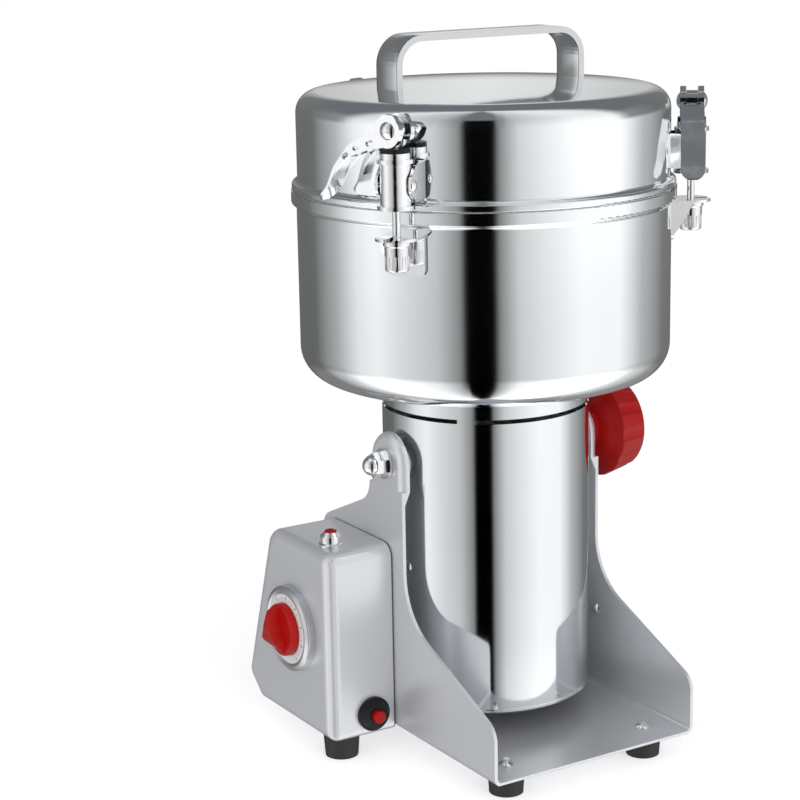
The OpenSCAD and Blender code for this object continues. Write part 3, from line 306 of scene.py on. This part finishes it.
def rubber(name, colour, dusty):
    """Matt rubber of one colour, with dust of another in its skin."""
    soft = Finish(name, colour, 0.7)
    bloom = soft.grain(soft.stretch(120, 120, 120), 4.0, 0.6)
    fine = soft.grain(soft.stretch(2200, 2200, 2200), 2.0)
    soft.set("Base Color", soft.blend(bloom, (*colour, 1), (*dusty, 1)))
    soft.set("Roughness", 0.55 + bloom * 0.25)
    return soft.bump(fine + bloom * 0.5, BLOOM_DEPTH, 0.7)


wear(rubber("Black rubber", (0.012, 0.012, 0.013), (0.035, 0.035, 0.037)),
     "rubber_feet", "cord_gland", "shaft_seal")
wear(rubber("White silicone", (0.72, 0.72, 0.70), (0.80, 0.80, 0.78)), "lid_gasket")

# %% [markdown]
# Nobody sees inside the motor until it is taken apart, but each piece there still has
# its own finish. The shaft, blades and studs are turned, so the tool's marks run round
# them, and the end plates are cast, which leaves a sandy skin.

# %% Turned steel and cast alloy
TOOL_MARK_DEPTH = 0.0001
SAND_DEPTH = 0.0003
turned = Finish("Turned steel", (0.55, 0.55, 0.57), 0.3, Metallic=1.0)
marks = turned.grain(turned.stretch(60, 60, 1500), 3.0)
turned.set("Roughness", 0.22 + marks * 0.2)
turned.set("Base Color", turned.blend(marks, (0.46, 0.46, 0.48, 1), (0.64, 0.64, 0.66, 1)))
turned.bump(marks, TOOL_MARK_DEPTH, 0.4)
wear(turned, "motor_shaft", "lower_blade", "upper_blade", "blade_spacer", "blade_nut",
     "ball_bearings", "pivot_stud", "clamp_stud", "pivot_bosses", "latch_springs")

cast = Finish("Cast alloy", (0.52, 0.53, 0.54), 0.5, Metallic=0.9)
sand = cast.grain(cast.stretch(700, 700, 700), 4.0)
cast.set("Roughness", 0.40 + sand * 0.25)
cast.set("Base Color", cast.blend(sand, (0.44, 0.45, 0.46, 1), (0.58, 0.59, 0.60, 1)))
cast.bump(sand, SAND_DEPTH, 0.6)
wear(cast, "upper_end_plate", "lower_end_plate")

# %% [markdown]
# A motor's core is a pile of thin varnished sheets. Counting heights in sheets and
# keeping only the fraction gives a saw tooth, which becomes a line at every joint. The
# slotted cover under the motor has the same dark varnish.

# %% Laminations
SHEETS_PER_METRE = 1600
stack = Finish("Laminations", (0.10, 0.10, 0.11), 0.45, Metallic=0.6)
_, _, height = stack.xyz()
sheets = abs((height * SHEETS_PER_METRE).sum("FRACT") - 0.5) * 2
varnish = stack.grain(stack.stretch(200, 200, 200), 3.0)
stack.set("Base Color", stack.blend(sheets, (0.05, 0.05, 0.055, 1), (0.16, 0.16, 0.17, 1)))
stack.set("Roughness", 0.35 + varnish * 0.25)
SHEET_DEPTH = 0.0002
stack.bump(sheets + varnish * 0.4, SHEET_DEPTH, 0.6)
wear(stack, "stator_core", "armature_core", "bottom_cover")

# %% [markdown]
# Copper wire lies in turns, so its winding shows as fine ridges round the coil. The
# brushes are pressed carbon, which is as dull and dusty as rubber.

# %% Copper and carbon
WIRE_DEPTH = 0.0004
copper = Finish("Varnished copper", (0.55, 0.22, 0.09), 0.3, Metallic=0.9)
turns = copper.grain(copper.stretch(260, 260, 2400), 2.0)
copper.set("Base Color", copper.blend(turns, (0.38, 0.13, 0.05, 1), (0.68, 0.30, 0.13, 1)))
copper.set("Roughness", 0.22 + turns * 0.2)
copper.bump(turns, WIRE_DEPTH, 0.7)
wear(copper, "stator_windings", "armature_windings", "commutator")
wear(rubber("Carbon", (0.02, 0.02, 0.021), (0.045, 0.045, 0.046)), "carbon_brushes")

# %% [markdown]
# The timer's dial is a pale plate with printed ticks inside a silvered bezel. Printing
# is only colour, so it is worked out from the distance and the angle round the centre.

# %% The dial's own measures
low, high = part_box("timer_dial")
dial_y, dial_z = (low.y + high.y) / 2, (low.z + high.z) / 2
dial = Finish("Dial plate", (0.78, 0.78, 0.77), 0.3)
_, y, z = dial.xyz()
across, up = (y - dial_y) * -1.0, z - dial_z
radius = (across * across + up * up).sum("SQRT")
angle = dial.number("ARCTAN2", across, up) / (2 * math.pi)
mils = radius * 1000
print("dial centred at y", round(dial_y, 4), "and z", round(dial_z, 4))

# %% [markdown]
# A tick is where two masks meet: a ring between two radii, and a thin slice that repeats
# round the centre. The width of the slice is measured along the arc, so ticks stay even.

# %% Dial plate with its ticks
TICKS_FROM = 17.6
SHORT_TICKS_TO = 18.8
LONG_TICKS_TO = 19.8
BEZEL_FROM = 20.9
PRINTED_TURN = 0.46


def ring_band(inner, outer):
    """1 between two distances from the centre, in millimetres."""
    return (mils > inner) * (mils < outer)


def ticks(count, half_width):
    """1 on each of count rays round the centre, half_width in millimetres."""
    beat = abs((angle * count + 0.5).sum("FRACT") - 0.5)
    return (beat / count * 2 * math.pi * mils) < half_width


used = (abs(angle) < PRINTED_TURN) * 1.0
short_ticks = ticks(30, 0.14) * ring_band(TICKS_FROM, SHORT_TICKS_TO)
long_ticks = ticks(10, 0.3) * ring_band(TICKS_FROM, LONG_TICKS_TO)
printed = short_ticks.sum("MAXIMUM", long_ticks)
cloudy = dial.grain(dial.stretch(80, 80, 80), 3.0)
plate = dial.blend(cloudy, (0.70, 0.70, 0.69, 1), (0.82, 0.82, 0.81, 1))
bezel = mils > BEZEL_FROM
inside = dial.blend(printed * used, plate, (0.10, 0.10, 0.11, 1))
dial.set("Base Color", dial.blend(bezel, inside, (0.60, 0.61, 0.63, 1)))
dial.set("Metallic", bezel * 0.85)
dial.set("Roughness", 0.20 + cloudy * 0.12)
dial.bump(cloudy, 0.0001, 0.3)
wear(dial, "timer_dial")

# %% [markdown]
# A studio is as much about what metal reflects as about what lights it. The steel mirrors
# a tent round the mill: two wide soft boxes on the camera's side, with a dark gap between
# them. One ramp gives the tone for each direction round the horizon, and another says how
# much brighter or darker it gets with height.

# %% The walls that the steel mirrors
CAMERA_SIDE = math.radians(-33.9)
world = bpy.data.worlds.new("Studio")
bpy.context.scene.world = world
world.use_nodes = True
tent = Bench(world.node_tree)
east, north, sky = tent.xyz("Generated")
to_camera = (math.sin(CAMERA_SIDE), -math.cos(CAMERA_SIDE))
ahead = east * to_camera[0] + north * to_camera[1]
aside = east * -to_camera[1] + north * to_camera[0]
turn = tent.number("ARCTAN2", aside, ahead) / (2 * math.pi) + 0.5
left_box = [(0.0, 0.13), (0.12, 0.13), (0.15, 0.14), (0.22, 0.42), (0.27, 0.80), (0.31, 0.92),
            (0.36, 0.72), (0.42, 0.55), (0.46, 0.24)]
dark_gap = [(0.47, 0.0), (0.518, 0.0)]
right_box = [(0.526, 0.22), (0.56, 0.62), (0.60, 0.78), (0.67, 1.0), (0.75, 0.98), (0.81, 0.46),
             (0.89, 0.18), (1.0, 0.14)]
stops = left_box + dark_gap + right_box
ring = tent.node("ShaderNodeValToRGB", {"stops": stops}, {0: turn})
heights = [(0.05, 0.86), (0.28, 0.80), (0.33, 0.50), (0.40, 0.51), (0.43, 0.56), (0.46, 0.60),
           (0.5, 0.58), (0.8, 0.44)]
gain = tent.node("ShaderNodeValToRGB", {"stops": heights}, {0: sky * 0.5 + 0.5}) * 2.0
walls = tent.blend(1.0, ring, gain, "MULTIPLY")
print("walls of", len(stops), "tones round the horizon and", len(heights), "in height")

# %% [markdown]
# Higher up the tent is different. In front, the gap closes to a dark grey. At the back, a
# narrow bright sweep lies straight behind the mill, and over it hangs a dark ceiling: the
# flat lid reflects the first, and the lid's rounded shoulder the second.

# %% The sky that the steel mirrors
CEILING = (0.15, 0.16, 0.175, 1)
CLOSED_GAP = (0.16, 0.17, 0.18, 1)
behind = 0.5 - abs(turn - 0.5)
back_stops = [(0.0, 0.80), (0.008, 0.72), (0.020, 0.44), (0.045, 0.18), (0.13, 0.16),
              (0.25, 0.30), (0.5, 0.42)]
back = tent.node("ShaderNodeValToRGB", {"stops": back_stops}, {0: behind})
far = tent.blend(tent.ease(sky, 0.36, 0.60), back, CEILING)
open_gap = tent.blend(1.0, walls, CLOSED_GAP, "LIGHTEN")
near = tent.blend(tent.ease(sky, 0.54, 0.66), walls, open_gap)
above = tent.blend(tent.ease(ahead, -0.22, 0.10), far, near)
mirrored = tent.blend(tent.ease(sky, -0.04, 0.10), walls, above)
print("sky of", len(back_stops), "tones at the back, under a dark ceiling")

# %% [markdown]
# Matt paint and plastic need a calmer light than the steel does: strongest from the
# camera's side and weakest from behind and above. Light Path tells the rays apart, and
# the camera itself sees plain white.

# %% The light on matt surfaces
FRONT = (1.0, 1.0, 1.0, 1)
BACK = (0.46, 0.47, 0.48, 1)
OVERHEAD = (0.50, 0.51, 0.52, 1)
WHITE = (1, 1, 1, 1)
path = tent.node("ShaderNodeLightPath").socket.node
sees = Wire(tent, path.outputs["Is Camera Ray"])
shines = Wire(tent, path.outputs["Is Glossy Ray"])
frontal = tent.blend(tent.ease(ahead, -0.7, 0.9), BACK, FRONT)
soft = tent.blend(tent.ease(sky, 0.1, 0.9), frontal, OVERHEAD)
plain = tent.blend(shines, soft, mirrored)
seen = tent.blend(sees, plain, WHITE)
glow = tent.node("ShaderNodeBackground", {}, {"Color": seen, "Strength": 1.0})
tent.node("ShaderNodeOutputWorld", {}, {0: glow})
print("the studio's world has", len(world.node_tree.nodes), "nodes")

# %% [markdown]
# The table is a plain white sweep. It only has to catch the soft shadow under the feet,
# so it glows a little for the camera alone, until its open parts are as white as the
# background.

# %% Table
TABLE_SIZE = 6
TABLE_GLOW = (0.50, 0.50, 0.50, 1)
NO_GLOW = (0, 0, 0, 1)
bpy.ops.mesh.primitive_plane_add(size=TABLE_SIZE, location=(0, 0, 0))
table = bpy.context.object
table.name = "table"
cloth = Finish("White table", (0.9, 0.9, 0.9), 0.8)
weave = cloth.grain(cloth.stretch(3, 3, 3), 2.0)
cloth.set("Base Color", cloth.blend(weave, (0.88, 0.88, 0.88, 1), (0.91, 0.91, 0.91, 1)))
seen_by = Wire(cloth, cloth.node("ShaderNodeLightPath").socket.node.outputs["Is Camera Ray"])
cloth.set("Emission Color", cloth.blend(seen_by, NO_GLOW, TABLE_GLOW))
cloth.set("Emission Strength", 1.0)
table.data.materials.append(cloth.material)
table.visible_glossy = False
print("table of", TABLE_SIZE, "metres, on the stage and not part of the mill")

# %% [markdown]
# Two large, weak lamps stand on the camera's side. The steel doesn't show them, because
# it already mirrors the tent, so they only model the paint and the plastic.

# %% Soft lamps
AIM = Vector((0, 0, 0.2))


def soft_lamp(name, place, energy, size):
    """A square lamp at place in metres, turned to the middle of the mill."""
    made = bpy.data.lights.new(name, "AREA")
    made.energy = energy
    made.size = size
    lamp = bpy.data.objects.new(name, made)
    lamp.location = place
    lamp.rotation_euler = (AIM - lamp.location).to_track_quat("-Z", "Y").to_euler()
    lamp.visible_glossy = False
    bpy.context.collection.objects.link(lamp)
    print(name, "lamp of", energy, "watts,", size, "metres wide")


soft_lamp("Key", (-0.4, -2.3, 0.9), 15, 1.4)
soft_lamp("Side", (-1.9, -0.5, 0.4), 8, 1.0)

# %% [markdown]
# The camera stands a little over a metre away, above the lid, and looks down on it. Its
# lens is worked out from a focal length in pixels, for a square frame of 800 pixels.

# %% Camera
SENSOR = 36
FRAME_PIXELS = 800
FOCAL_PIXELS = 2124.55
CAMERA_PLACE = (-0.6811, -1.0141, 0.5010)
HEADING, DOWN, ROLL = 31.524, 13.675, -1.060


def look(place, heading, down, roll):
    """A camera at place; heading is from +Y towards +X, all angles in degrees."""
    a, b, r = (math.radians(v) for v in (heading, down, roll))
    ahead = Vector((math.sin(a) * math.cos(b), math.cos(a) * math.cos(b), -math.sin(b)))
    right = ahead.cross(Vector((0, 0, 1))).normalized()
    up = right.cross(ahead)
    tilted_right = right * math.cos(r) + up * math.sin(r)
    tilted_up = -right * math.sin(r) + up * math.cos(r)
    turn = Matrix((tilted_right, tilted_up, -ahead)).transposed()
    return Matrix.Translation(place) @ turn.to_4x4()


view = bpy.data.cameras.new("View")
view.lens = SENSOR * FOCAL_PIXELS / FRAME_PIXELS
view.sensor_width = SENSOR
view.clip_start = 0.05
camera = bpy.data.objects.new("View", view)
bpy.context.collection.objects.link(camera)
camera.matrix_world = look(CAMERA_PLACE, HEADING, DOWN, ROLL)
bpy.context.scene.camera = camera
bpy.context.scene.view_settings.view_transform = "Standard"
print("camera at", [round(v, 3) for v in camera.matrix_world.translation])
